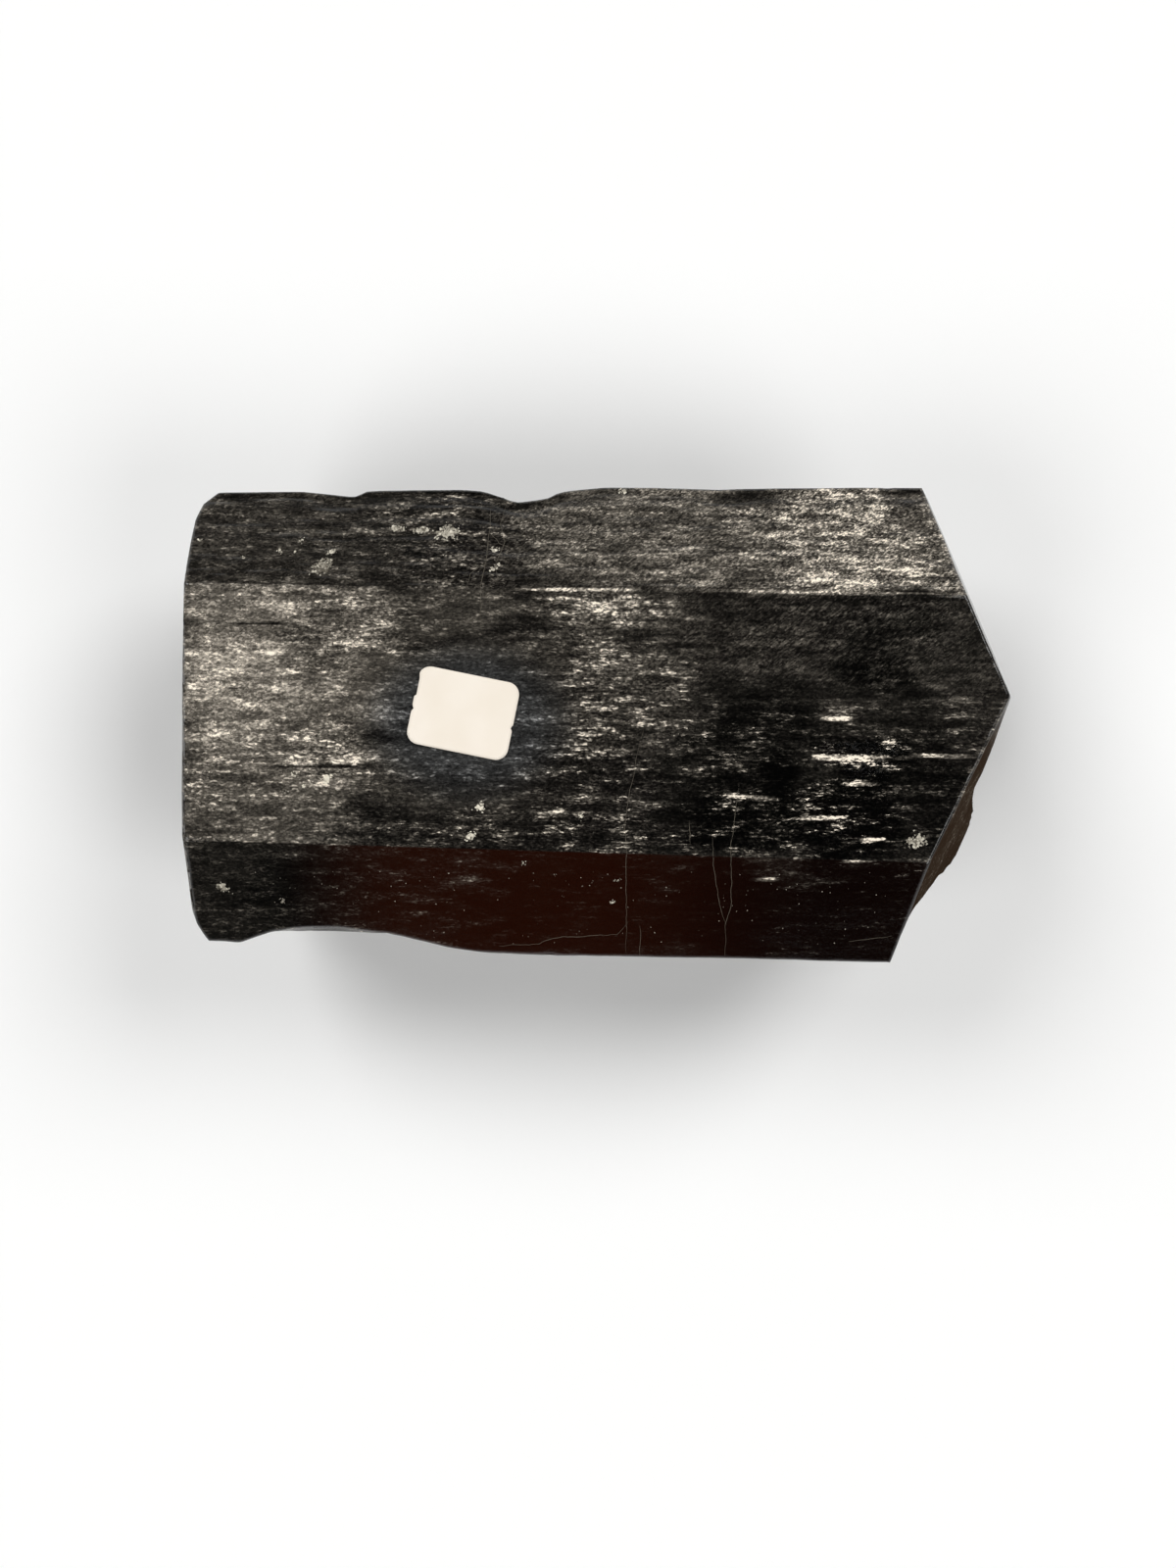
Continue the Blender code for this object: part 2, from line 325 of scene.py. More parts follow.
# The paper label: an inch by three quarters of an inch with trimmed edges.
LABEL_SIZE = (24.7, 19.0)
LABEL_CORNER = 3.0
LABEL_TURN = -11.5  # degrees, seen from above
LABEL_THICKNESS = 0.12
LABEL_GAP = 0.08  # between the striated face and the paper
LABEL_WAVES, LABEL_LIFT = 0.05, 0.22  # how uneven it lies, and how far its corners lift
LABEL_CUT = 0.45  # how deep its left edge is cut back, and its nicks
LABEL_RINGS, LABEL_POINTS = 16, 200

# The photograph's view: 1200 by 1600 pixels, straight down from 450 mm above the top face.
PHOTO_HEIGHT = 1600
PHOTO_FOCAL = 1911  # pixels
SENSOR = 36.0
CAMERA_ABOVE_TOP = 450.0
CAMERA_PLAN = (-2.3, -14.7)

# Softboxes so far off that they light the floor evenly: the direction to each, its share of the
# light, and how wide each looks, in degrees.
SOFTBOXES = {
    "left_back": ((-1.0, 0.9, 1.3), 0.3),
    "right_back": ((1.0, 0.9, 1.3), 0.3),
    "left_front": ((-1.0, -0.8, 1.3), 0.2),
    "right_front": ((1.0, -0.8, 1.3), 0.2),
}
SOFTBOX_ANGLE = 32.0
FLOOR_REACH = 3.0  # metres
# The studio's walls are pale up to the first height, in degrees over the horizon, and from the
# second one up there is a dark ceiling. Then how bright the walls and the ceiling are.
WALL_TOP = (8, 19)
WALL_LIGHT, CEILING_LIGHT = 0.95, 0.005


def linear(hex_color):
    """An sRGB hex colour as linear red, green, blue and alpha."""
    values = np.array([int(hex_color[i : i + 2], 16) / 255 for i in (1, 3, 5)])
    curve = np.where(values <= 0.04045, values / 12.92, ((values + 0.055) / 1.055) ** 2.4)
    return (*curve.tolist(), 1.0)


def smoothstep(low, high, value):
    """0 at low, 1 at high, and 3 t squared less 2 t cubed between them."""
    t = np.clip((value - low) / (high - low), 0.0, 1.0)
    return t * t * (3 - 2 * t)


LATTICE_PRIMES = (374761393, 668265263, 2246822519)
SEED_FACTOR, MIX_FACTOR = 974634777, 1274126177
LARGEST = 0xFFFFFFFF  # of 32 bits


def lattice(ix, iy, iz, seed):
    """A number from 0 to 1 for each point of a whole-number lattice, by an integer hash."""
    with np.errstate(over="ignore"):
        key = np.uint32(seed * SEED_FACTOR & LARGEST)
        for index, prime in zip((ix, iy, iz), LATTICE_PRIMES):
            key = key + index.astype(np.uint32) * np.uint32(prime)
        key = (key ^ (key >> np.uint32(13))) * np.uint32(MIX_FACTOR)
        key = key ^ (key >> np.uint32(16))
    return key.astype(np.float64) / LARGEST


def noise(x, y, z, seed, ease=smoothstep):
    """Value noise from -1 to 1: the lattice's eight corners round each point, blended with ease.
    The seed picks the pattern."""
    x, y, z = np.broadcast_arrays(x, y, z)
    floors = [np.floor(part) for part in (x, y, z)]
    tx, ty, tz = (ease(0, 1, part - low) for part, low in zip((x, y, z), floors))
    ix, iy, iz = (low.astype(np.int64) for low in floors)
    total = np.zeros(x.shape)
    for dx, dy, dz in itertools.product((0, 1), repeat=3):
        weight = (tx if dx else 1 - tx) * (ty if dy else 1 - ty) * (tz if dz else 1 - tz)
        total = total + weight * lattice(ix + dx, iy + dy, iz + dz, seed)
    return total * 2 - 1


def fractal(x, y, z, seed, octaves=3):
    """Noise at one scale, and at half of it and half the height for each further octave."""
    total = 0.0
    for octave in range(octaves):
        finer = 2.0**octave
        total = total + noise(x * finer, y * finer, z * finer, seed + octave) / finer
    return total / (2 - 2.0 ** (1 - octaves))


def lower_of(a, b, blend):
    """The smaller of two surfaces, with a parabola over the corner where they are within blend."""
    near = np.clip(1 - np.abs(a - b) / blend, 0, 1)
    return np.minimum(a, b) - near * near * blend / 4


def straight(low, high, value):
    """0 at low, 1 at high, and a straight line between them, for noise with flat facets."""
    return (value - low) / (high - low)


def hollows(x, y, z, size, seed):
    """How deep the hollows of flaked stone are, from 0 to 1: of the 27 lattice cells round a point,
    the most that any has of its own random depth, less the square of the distance to its centre."""
    warp = 0.25 * fractal(x * 2 / size, y * 2 / size, z * 2 / size, seed + 9, 2)
    x, y, z = np.broadcast_arrays(x / size + warp, y / size + warp, z / size - warp)
    ix, iy, iz = (np.floor(part).astype(np.int64) for part in (x, y, z))
    deepest = np.zeros(x.shape)
    for dx, dy, dz in itertools.product((-1, 0, 1), repeat=3):
        cell = ix + dx, iy + dy, iz + dz
        centre = (low + lattice(*cell, seed + axis) for axis, low in enumerate(cell))
        away = sum((part - middle) ** 2 for part, middle in zip((x, y, z), centre))
        deepest = np.maximum(deepest, 0.4 + 0.6 * lattice(*cell, seed + 3) - away)
    return deepest


def flaked(x, y, z, seed):
    """How deep a break lies: hollows in three sizes, in millimetres."""
    return sum(
        depth * hollows(x, y, z, size, seed + 20 * step)
        for step, (size, depth) in enumerate(BREAK_HOLLOWS)
    )


def edge_line(x, points):
    """The polyline through the points at x, averaged over the softness to round its corners."""
    xs, ys = np.array(points).T
    offsets = np.linspace(-1, 1, 5) * EDGE_SOFTNESS
    return sum(np.interp(x + offset, xs, ys) for offset in offsets) / len(offsets)


def support(face, x):
    """How far the face's plane is from the c axis in the cross-section at x."""
    _, distance, flare, _, _ = PRISM_FACES[face]
    return distance + x * math.tan(math.radians(flare))


def corner(x, first, second):
    """Where two faces meet in the cross-section at x: the lines sin(azimuth) y + cos(azimuth) z =
    support, solved for y and z."""
    a, b = (math.radians(PRISM_FACES[face][0]) for face in (first, second))
    ha, hb = support(first, x), support(second, x)
    y = (ha * math.cos(b) - hb * math.cos(a)) / math.sin(a - b)
    z = (hb * math.sin(a) - ha * math.sin(b)) / math.sin(a - b)
    return y, z + C_AXIS_HEIGHT


def bevel_height(face, x, y):
    """The z of the face's plane over the point (x, y)."""
    azimuth = math.radians(PRISM_FACES[face][0])
    return C_AXIS_HEIGHT + (support(face, x) - math.sin(azimuth) * y) / math.cos(azimuth)


def section_corners(x):
    """The prism's corners at x, one where each face starts, as y and z. The two edges between
    bevel and side follow their own lines."""
    ys, zs = [], []
    for index, face in enumerate(FACE_NAMES):
        if face in OUTER_EDGES:
            bevel, line = OUTER_EDGES[face]
            y = edge_line(x, line)
            z = bevel_height(bevel, x, y)
        else:
            y, z = corner(x, FACE_NAMES[index - 1], face)
        ys.append(y)
        zs.append(z)
    return np.stack(np.broadcast_arrays(*ys)), np.stack(np.broadcast_arrays(*zs))


def crowded(t, amount):
    """t from 0 to 1 crowded towards both ends: t less a part of sin(2 pi t)."""
    return t - amount / (2 * math.pi) * np.sin(2 * math.pi * t)


def column_keys():
    """Each column's face number plus its fraction across that face. Columns crowd towards the
    face's edges, and one of them runs through the tip."""
    ys, _ = section_corners(np.array(TIP[0]))
    tip = (TIP[1] - ys[0]) / (ys[1] - ys[0])
    keys = []
    for index, (_, _, _, count, _) in enumerate(PRISM_FACES.values()):
        spread = crowded(np.arange(count) / count, COLUMN_CROWDING)
        if index == NUMBER["top"]:
            spread[np.argmin(np.abs(spread - tip))] = tip
        keys.append(index + spread)
    return np.concatenate(keys)


def section(x, keys):
    """The ideal prism's y and z at x for each key: the point between its face's two corners."""
    first = np.broadcast_to(np.floor(keys).astype(int), x.shape)
    second = (first + 1) % len(FACE_NAMES)
    places = tuple(np.indices(x.shape))
    share = keys - np.floor(keys)
    return [
        line[(first, *places)] * (1 - share) + line[(second, *places)] * share
        for line in section_corners(x)
    ]


@functools.cache
def section_columns():
    """The grid's columns: their keys, distance round the section from its first corner, distance to
    the nearest corner and to the nearest outer edge, and how strong the striations are. They fade
    out at the outer edges and a little way in under the crystal."""
    keys = column_keys()
    face, share = np.floor(keys).astype(int), keys % 1
    ys, zs = (line[:, 0] for line in section_corners(np.zeros(1)))
    widths = np.hypot(np.roll(ys, -1) - ys, np.roll(zs, -1) - zs)
    corners_at = np.append(0, np.cumsum(widths))
    round_axis = corners_at[face] + share * widths[face]
    to_edge = np.minimum(share, 1 - share) * widths[face]
    to_outer = np.minimum(*(np.abs(round_axis - corners_at[NUMBER[name]]) for name in OUTER_EDGES))
    strengths = np.array([values[-1] for values in PRISM_FACES.values()])
    under = strengths[NUMBER["near_under"]] * smoothstep(RIB_FADE, 0, to_edge)
    strength = strengths[face] * smoothstep(0, RIB_FADE, to_outer)
    strength = np.where(face == NUMBER["underside"], under, strength)
    return SimpleNamespace(
        keys=keys, round_axis=round_axis, to_edge=to_edge, to_outer=to_outer, strength=strength
    )


def striated(x, columns, striation, flake):
    """The prism's y and z at x: the ideal section, moved towards the c axis by striations, narrow
    flat facets by the distance round the axis, and by flakes lost in long steps."""
    y, z = section(x, columns.keys)
    ribs = sum(
        depth * (1 + noise(x / length, columns.round_axis / width, 0.5, 34 + step, straight))
        for step, (length, width, depth) in enumerate(RIBS)
    )
    lost = fractal(x / FLAKE_STEP[0], columns.round_axis / FLAKE_STEP[1], 0.5, 36)
    steps = flake * smoothstep(*STEP_EDGE, lost)
    depth = striation * columns.strength * ribs + np.minimum(columns.strength, FULL_STEPS) * steps
    share = depth / np.hypot(y, z - C_AXIS_HEIGHT)
    return y - share * y, z - share * (z - C_AXIS_HEIGHT)


def leaning(y, z, through, azimuth, tilt):
    """x over (y, z) of a plane through a point, whose normal is tilted from the c axis towards the
    azimuth."""
    a = math.radians(azimuth)
    drop = math.sin(a) * (y - through[1]) + math.cos(a) * (z - through[2])
    return through[0] - math.tan(math.radians(tilt)) * drop


def end_parts(y, z):
    """x over (y, z) of the pyramid, which is the lower of its planes, a little etched, and of the
    break under it, which is the lower of the ragged wall and the undercuts, with hollows that get
    deeper the further the break lies behind the pyramid."""
    pyramid = lower_of(*(leaning(y, z, TIP, *face) for face in PYRAMID_FACES), RIDGE_BLEND)
    pyramid = pyramid - PYRAMID_ETCHING * (1 + fractal(y / 5, z / 5, 0.0, 13))
    xs, ys = np.array(BROKEN_END).T
    broken = np.interp(y, ys, xs)
    for azimuth, tilt, height in UNDERCUTS:
        undercut = leaning(y, z, (HALF_LENGTH, 0.0, height), azimuth, tilt)
        broken = lower_of(broken, undercut, UNDERCUT_BLEND)
    depth = smoothstep(*END_DEEPENS, pyramid - broken)
    return pyramid, broken - depth * flaked(0.0, y, z, 11)


def end_surface(y, z):
    """x of the whole pyramid end over (y, z)."""
    return lower_of(*end_parts(y, z), RIM_BLEND)


def upper_surface(x, y):
    """The ideal height of the top face and bevels over (x, y)."""
    bevels = np.minimum(bevel_height("far_bevel", x, y), bevel_height("near_bevel", x, y))
    return np.minimum(HEIGHT, bevels)


def base_surface(y, z):
    """x of the base end over (y, z): the furthest in of the broken wall, its lean and its bruise.
    The wall's hollows get deeper on the way down."""
    xs, ys = np.array(BASE_END).T
    wall = np.interp(y, ys, xs)
    lean = math.tan(math.radians(BASE_LEAN)) * (HEIGHT - z) - HALF_LENGTH
    down = upper_surface(-HALF_LENGTH, y) - z
    bruise = BASE_BRUISE - HALF_LENGTH - down / math.tan(math.radians(BASE_BRUISE_TILT))
    depth = smoothstep(*BASE_DEEPENS, down)
    broken = lower_of(-wall, -lean, LEAN_BLEND) - depth * flaked(0.0, y, z, 21)
    return -lower_of(broken, -bruise, BRUISE_BLEND)


def carve(x, y, z):
    """Points inside a scar's ellipsoid move towards the c axis until they are out of it: the line
    to the axis is met with the ellipsoid as a quadratic. Low down the ellipsoids are uneven.
    Gives y, z and how far each moved."""
    moved = np.zeros(x.shape)
    uneven = UNEVEN_SCARS * fractal(x / 28, y / 28, z / 28, 29, 2)
    uneven = 1 + uneven * smoothstep(*UNEVEN_BELOW, z)
    for centre, half_axes in SCARS:
        half = [axis * uneven for axis in half_axes]
        px, py, pz = ((p - c) / h for p, c, h in zip((x, y, z), centre, half))
        dy, dz = -y, C_AXIS_HEIGHT - z
        length = np.maximum(np.hypot(dy, dz), 1e-6)
        dy, dz = dy / length / half[1], dz / length / half[2]
        a = dy * dy + dz * dz
        b = py * dy + pz * dz
        c = px * px + py * py + pz * pz - 1
        way_out = (-b + np.sqrt(np.maximum(b * b - a * c, 0))) / a
        step = np.where(c < 0, way_out, 0)
        y, z = y + step * dy * half[1], z + step * dz * half[2]
        moved = moved + step * np.hypot(dy * half[1], dz * half[2])
    return y, z, moved


def relief(x, y, z, moved, edge, outer_edge):
    """How deep the surface lies under the striated one: broad waves, hollows in the scars, and wear
    and nicks that fade by exp of the distance from an edge, on the outer edges the most."""
    waves = WAVE_DEPTH * (1 + fractal(x / 45, y / 16, z / 16, 31))
    sharp = np.exp(-outer_edge / OUTER_REACH)
    wear = (WEAR[0] + WEAR[1] * sharp) * (1.3 + fractal(x / 5, y / 4, z / 4, 39))
    wear = wear * np.exp(-edge / WEAR[2])
    nicks = smoothstep(0.35, 0.75, fractal(x / 4, y / 9, z / 9, 41)) * np.exp(-edge / NICKS[2])
    nicks = nicks * (NICKS[0] + NICKS[1] * sharp)
    scars = SCAR_HOLLOWS * flaked(x, y, z, 43) * smoothstep(0.0, 4.0, moved)
    return waves + wear + nicks + scars


def grid_normals(points):
    """Unit normals of a grid that is closed across its columns, from central differences."""
    along = np.gradient(points, axis=0)
    across = np.roll(points, -1, axis=1) - np.roll(points, 1, axis=1)
    normal = np.cross(along, across)
    return normal / np.maximum(np.linalg.norm(normal, axis=-1, keepdims=True), 1e-9)


@functools.cache
def crystal_skin(striation, flake):
    """The crystal's surface as one grid, closed round the c axis: rings of the base end from its
    middle out, rows along the prism, and rings of the pyramid end back to its middle."""
    columns = section_columns()
    start = np.full(len(columns.keys), -HALF_LENGTH)
    stop = np.full(len(columns.keys), TIP[0])
    for _ in range(SETTLE_ROUNDS):
        start = base_surface(*striated(start, columns, striation, flake))
        stop = end_surface(*striated(stop, columns, striation, flake))

    t = crowded(np.linspace(0, 1, BODY_ROWS + 1), ROW_CROWDING)
    x = start + (stop - start) * t[:, None]
    y, z = striated(x, columns, striation, flake)
    to_end = np.minimum(x - start, stop - x)
    edge = np.minimum(columns.to_edge, to_end + 0.3)
    outer_edge = np.minimum(columns.to_outer, to_end)

    ring = (np.arange(1, CAP_ROWS + 1) / (CAP_ROWS + 0.6))[:, None] ** 1.15
    caps = []
    for row, centre, surface in ((0, BASE_CENTRE, base_surface), (-1, END_CENTRE, end_surface)):
        cap_y = y[row] + (centre[0] - y[row]) * ring
        cap_z = z[row] + (centre[1] - z[row]) * ring
        reach = np.hypot(centre[0] - y[row], centre[1] - z[row]) * ring
        caps.append((surface(cap_y, cap_z), cap_y, cap_z, reach + 0.3, reach))
    body = x, y, z, edge, outer_edge
    joined = [np.concatenate([b[::-1], middle, e]) for b, middle, e in zip(caps[0], body, caps[1])]
    x, y, z, edge, outer_edge = joined
    y, z, moved = carve(x, y, z)
    ideal = np.stack([x, y, z], axis=-1)
    depth = relief(x, y, z, moved, edge, outer_edge)
    points = ideal - grid_normals(ideal) * depth[..., None]
    points[..., 2] = np.maximum(points[..., 2], 0.0)
    return SimpleNamespace(
        points=points,
        normals=grid_normals(points),
        ideal=ideal,
        keys=columns.keys,
        start=start,
        stop=stop,
        rows=t,
        moved=moved,
    )


def built_skin(context):
    """The crystal's surface, with striations and flakes as deep as its settings say."""
    settings = context.scene.tourmaline_crystal
    return crystal_skin(settings.striation / MM, settings.flake / MM)


def lie_on(skin, x, y):
    """Points and normals of the upper faces at places in plan. The face is found between the
    section's corners, the place becomes a row and a column of the grid, and the grid's four points
    round it are blended."""
    ys, _ = section_corners(x)
    last = len(FACE_NAMES) - 1
    near = last + (y - ys[last]) / (ys[0] - ys[last])
    far = 1 + (y - ys[1]) / (ys[2] - ys[1])
    top = (y - ys[0]) / (ys[1] - ys[0])
    key = np.where(y < ys[0], near, np.where(y > ys[1], far, top))
    columns = len(skin.keys)
    column = np.interp(key, np.append(skin.keys, len(FACE_NAMES)), np.arange(columns + 1))
    around = np.append(skin.start, skin.start[0]), np.append(skin.stop, skin.stop[0])
    start, stop = (np.interp(column, np.arange(columns + 1), ends) for ends in around)
    row = CAP_ROWS + np.interp((x - start) / (stop - start), skin.rows, np.arange(len(skin.rows)))
    row_low = np.minimum(np.floor(row).astype(int), len(skin.points) - 2)
    column_low = np.minimum(np.floor(column).astype(int), columns - 1)
    beside = (column_low + 1) % columns
    down, right = (row - row_low)[..., None], (column - column_low)[..., None]
    found = []
    for grid in (skin.points, skin.normals):
        here, there = (
            grid[line, column_low] * (1 - right) + grid[line, beside] * right
            for line in (row_low, row_low + 1)
        )
        found.append(here * (1 - down) + there * down)
    return found


def painted(x, y, patches, tone, grain):
    """Tone and grain with each patch laid over them: a soft oval with a frayed, streaky rim."""
    fray = FRAY * fractal(x / 11, y / 3.5, 0.0, 51, 4)
    for centre_x, centre_y, half_x, half_y, patch_tone, patch_grain in patches:
        away = np.hypot((x - centre_x) / half_x, (y - centre_y) / half_y) + fray
        cover = smoothstep(1.5, 0.6, away)
        tone = tone + (patch_tone - tone) * cover
        grain = grain + (patch_grain - grain) * cover
    return tone, grain


def line_cover(x, y, begin, end, half_width):
    """1 on the line between two points, and 0 beyond the half width from it or past its ends."""
    along = np.array(end, float) - np.array(begin, float)
    length = np.hypot(*along)
    u = ((x - begin[0]) * along[0] + (y - begin[1]) * along[1]) / length
    v = ((y - begin[1]) * along[0] - (x - begin[0]) * along[1]) / length
    taper = smoothstep(-1.0, 2.5, u) * smoothstep(length + 1.0, length - 2.5, u)
    return taper * smoothstep(1.0, 0.3, np.abs(v) / half_width)


def frosting(skin):
    """What the crystal's material needs at each point of the grid: how much frosting there is, with
    the painted sheen of lamps and painted highlights and painted shade along lines, and its grain,
    where its flakes run straight, slanting or long, and where the surface is striated, broken, cool
    or stained. Brown marks the painted reflection of a brown surface on the near bevel, and on the
    near part of the pyramid end the staining is in part a painted brown reflection too."""
    x, y, z = (skin.ideal[..., axis] for axis in range(3))
    body = np.zeros(x.shape, bool)
    body[CAP_ROWS:-CAP_ROWS] = True
    on = {name: body & (np.floor(skin.keys) == number) for name, number in NUMBER.items()}
    upper = np.any([on[name] for name in FROST_AND_SHEEN], axis=0)
    sides = np.any([on[name] for name in SIDES], axis=0)

    tone = SIDE_FROST[0] * np.exp(SIDE_FROST[2] * fractal(x / 40, y / 9, z / 9, 61))
    grain = np.full(x.shape, SIDE_FROST[1])
    # Patches of frosting with painted sheen.
    for name, patches in FROST_AND_SHEEN.items():
        here = on[name]
        tone[here], grain[here] = painted(x[here], y[here], patches, tone[here], grain[here])
    # Painted highlights and painted shade along lines.
    for begin, end, half_width, gleam in PAINTED_GLEAMS:
        cover = np.where(upper, line_cover(x, y, begin, end, half_width), 0)
        tone = tone + (gleam - tone) * cover
        grain = grain + (PAINTED_GLEAM_GRAIN - grain) * cover

    slant = (BEVEL_SLANT[1] + BEVEL_SLANT[2] * smoothstep(*BEVEL_SLANT[0], x)) * on["far_bevel"]
    for by_x, by_y, strength in (TOP_SLANT, BASE_SLANT):
        slant = slant + strength * smoothstep(*by_x, x) * smoothstep(*by_y, y) * on["top"]
    # The near bevel's brown is a painted reflection of a brown surface.
    brown = smoothstep(*BROWN_REFLECTION[0], x) * (1 - BROWN_REFLECTION[2] * smoothstep(*BROWN_REFLECTION[1], x)) * on["near_bevel"]
    away = np.hypot((x - COOL_PATCH[0]) / COOL_PATCH[2], (y - COOL_PATCH[1]) / COOL_PATCH[3])
    cool = smoothstep(1.3, 0.7, away) * on["top"]

    # Breaks: scars, the underside, the pyramid end where its wall lies behind the pyramid's faces,
    # and the whole base end, with its bruise. The rim is the top face's worn edge beside the tip.
    pyramid, wall = end_parts(y, z)
    broken = np.maximum(smoothstep(0.0, 3.5, skin.moved), on["underside"])
    broken[-CAP_ROWS:] = smoothstep(-0.5, 0.5, pyramid - wall)[-CAP_ROWS:]
    broken[:CAP_ROWS] = 1.0
    rim = np.exp(-np.abs(skin.stop - x) / 0.6) * smoothstep(16, 8, np.abs(y + 8)) * upper
    bruise = np.zeros(x.shape)
    bruise[:CAP_ROWS] = smoothstep(3.5, 1.5, upper_surface(x, y) - z)[:CAP_ROWS]
    break_tone = BREAK_FROST[0] * np.exp(BREAK_FROST[2] * fractal(x / 14, y / 14, z / 14, 63))
    tone = tone + (break_tone - tone) * broken
    tone = tone + (BRUISE_FROST - tone) * bruise + (RIM_FROST - tone) * rim
    grain = grain + (BREAK_FROST[1] - grain) * broken

    patchy = fractal(x / 18, y / 18, z / 18, 65)
    stain_and_reflection = BREAK_STAIN * broken * smoothstep(-0.1, 0.6, patchy)
    # On the near part of the pyramid end the brown is in part a painted reflection.
    near = smoothstep(*NEAR_STAIN_AND_REFLECTION[0], y + 12 * patchy) * smoothstep(*NEAR_STAIN_AND_REFLECTION[1], z + 22 * patchy)
    stain_and_reflection[-CAP_ROWS:] = np.maximum(stain_and_reflection, near)[-CAP_ROWS:]
    tone = tone * (1 - STAIN_SHADE * stain_and_reflection)
    plain = (1 - slant) * (1 - broken)
    return {
        "frost_and_sheen": np.clip(tone, 0, 1) ** 2.2,
        "grain": grain,
        "straight": plain,
        "slant": slant * (1 - broken),
        "long": plain * np.where(upper, smoothstep(*LONG_FLAKES, x - y), 1.0),
        "striated": sides * (1 - broken),
        "broken": broken,
        "brown": brown,
        "cool": cool,
        "stain_and_reflection": stain_and_reflection,
    }


def closed_mesh(name, *grids):
    """One mesh of grids of the same size. Each is closed across its columns, and at both ends by a
    point in the middle of its last row there."""
    grids = np.array(grids)
    items, rows, columns = grids.shape[:3]
    poles = [grids[:, row].mean(axis=1, keepdims=True) for row in (0, -1)]
    points = np.concatenate([grids.reshape(items, -1, 3), *poles], axis=1) * MM
    index = np.arange(rows * columns).reshape(rows, columns)
    beside = np.roll(index, -1, axis=1)
    quads = np.stack([index[:-1], index[1:], beside[1:], beside[:-1]], axis=-1).reshape(-1, 4)
    pole = np.full(columns, rows * columns)
    fans = [pole, index[0], beside[0]], [pole + 1, beside[-1], index[-1]]
    fans = np.concatenate([np.stack(fan, axis=-1) for fan in fans])
    shift = (np.arange(items) * (rows * columns + 2))[:, None, None]
    faces = (quads + shift).reshape(-1, 4).tolist() + (fans + shift).reshape(-1, 3).tolist()
    mesh = bpy.data.meshes.new(name)
    mesh.from_pydata(points.reshape(-1, 3).tolist(), [], faces)
    mesh.shade_smooth()
    return mesh


def put_attribute(mesh, name, values):
    """A number for each point of the mesh, for its material to read."""
    layer = mesh.attributes.new(name, "FLOAT", "POINT")
    layer.data.foreach_set("value", np.asarray(values, np.float32).ravel())


def new_piece(name, mesh, material, node=None):
    """An object at the origin that rides on the only body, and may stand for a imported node."""
    piece = bpy.data.objects.new(name, mesh)
    bpy.context.scene.collection.objects.link(piece)
    mesh.materials.append(material)
    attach(piece, "root")
    if node:
        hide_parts(node)
    return piece


def put_in(tree, node, inputs):
    """Sets or links each input of a node."""
    for name, value in inputs.items():
        if isinstance(value, bpy.types.NodeSocket):
            tree.links.new(value, node.inputs[name])
        else:
            node.inputs[name].default_value = value


def add(tree, kind, inputs=None, output=0, **settings):
    """Adds a shader node, sets its properties and its inputs, and gives back one output."""
    node = tree.nodes.new("ShaderNode" + kind)
    for name, value in settings.items():
        setattr(node, name, value)
    put_in(tree, node, inputs or {})
    return node.outputs[output]


def new_material(name):
    """A material of one Principled shader, with its node tree and that shader."""
    material = bpy.data.materials.new(name)
    material.use_nodes = True
    tree = material.node_tree
    return material, tree, tree.nodes["Principled BSDF"]


# What the crystal's material reads from each point of its mesh, as worked out in frosting.
FIELDS = (
    "frost_and_sheen", "grain", "straight", "slant", "long", "striated", "broken", "brown", "cool", "stain_and_reflection",
)
# Its noise layers: size of a cell in millimetres, turn in degrees, detail, how much it changes the
# frosting and painted sheen, how many micrometres it raises the surface, and the field that says
# where. Then the layers of flakes, which paint glints as flakes bright all over: size, turn, the
# share that is bright, how bright, and where. The finest real flakes wouldn't show, so these are
# drawn one to two of the photograph's pixels wide.
NOISES = (
    ((8.0, 2.2, 2.2), 0, 3.0, 5.0, 10, None),
    ((40.0, 1.4, 1.4), 0, 1.0, 3.0, 20, None),
    ((1.0, 0.42, 0.42), 0, 3.0, 9.0, 60, "straight"),
    ((1.5, 0.42, 0.42), 38, 2.0, 9.0, 60, "slant"),
    ((70.0, 0.7, 0.7), 0, 2.0, 6.0, 350, "striated"),
    ((2.6, 2.6, 2.6), 0, 4.0, 6.0, 900, "broken"),
)
PAINTED_GLINT_FLAKES = (
    ((0.62, 0.4, 0.4), 4, 1.0, 1.2, None),
    ((1.1, 0.42, 0.42), -3, 0.14, 2.4, "straight"),
    ((3.6, 0.27, 0.27), 0, 0.09, 2.2, "long"),
)
ROUGHNESS = 0.65  # of each finer octave against the one before
CLUMPING = 1.3  # how much more likely flakes are to be bright where the first noise is pale
FACETS = ((7.0, 0.7), (2.2, 0.5))  # of broken stone: size, and the steepest slope along an axis
# The patterns are pulled about by noise of the first size, over a range of the second one.
WARP_SIZE, WARP_RANGE = 1.3, 0.55


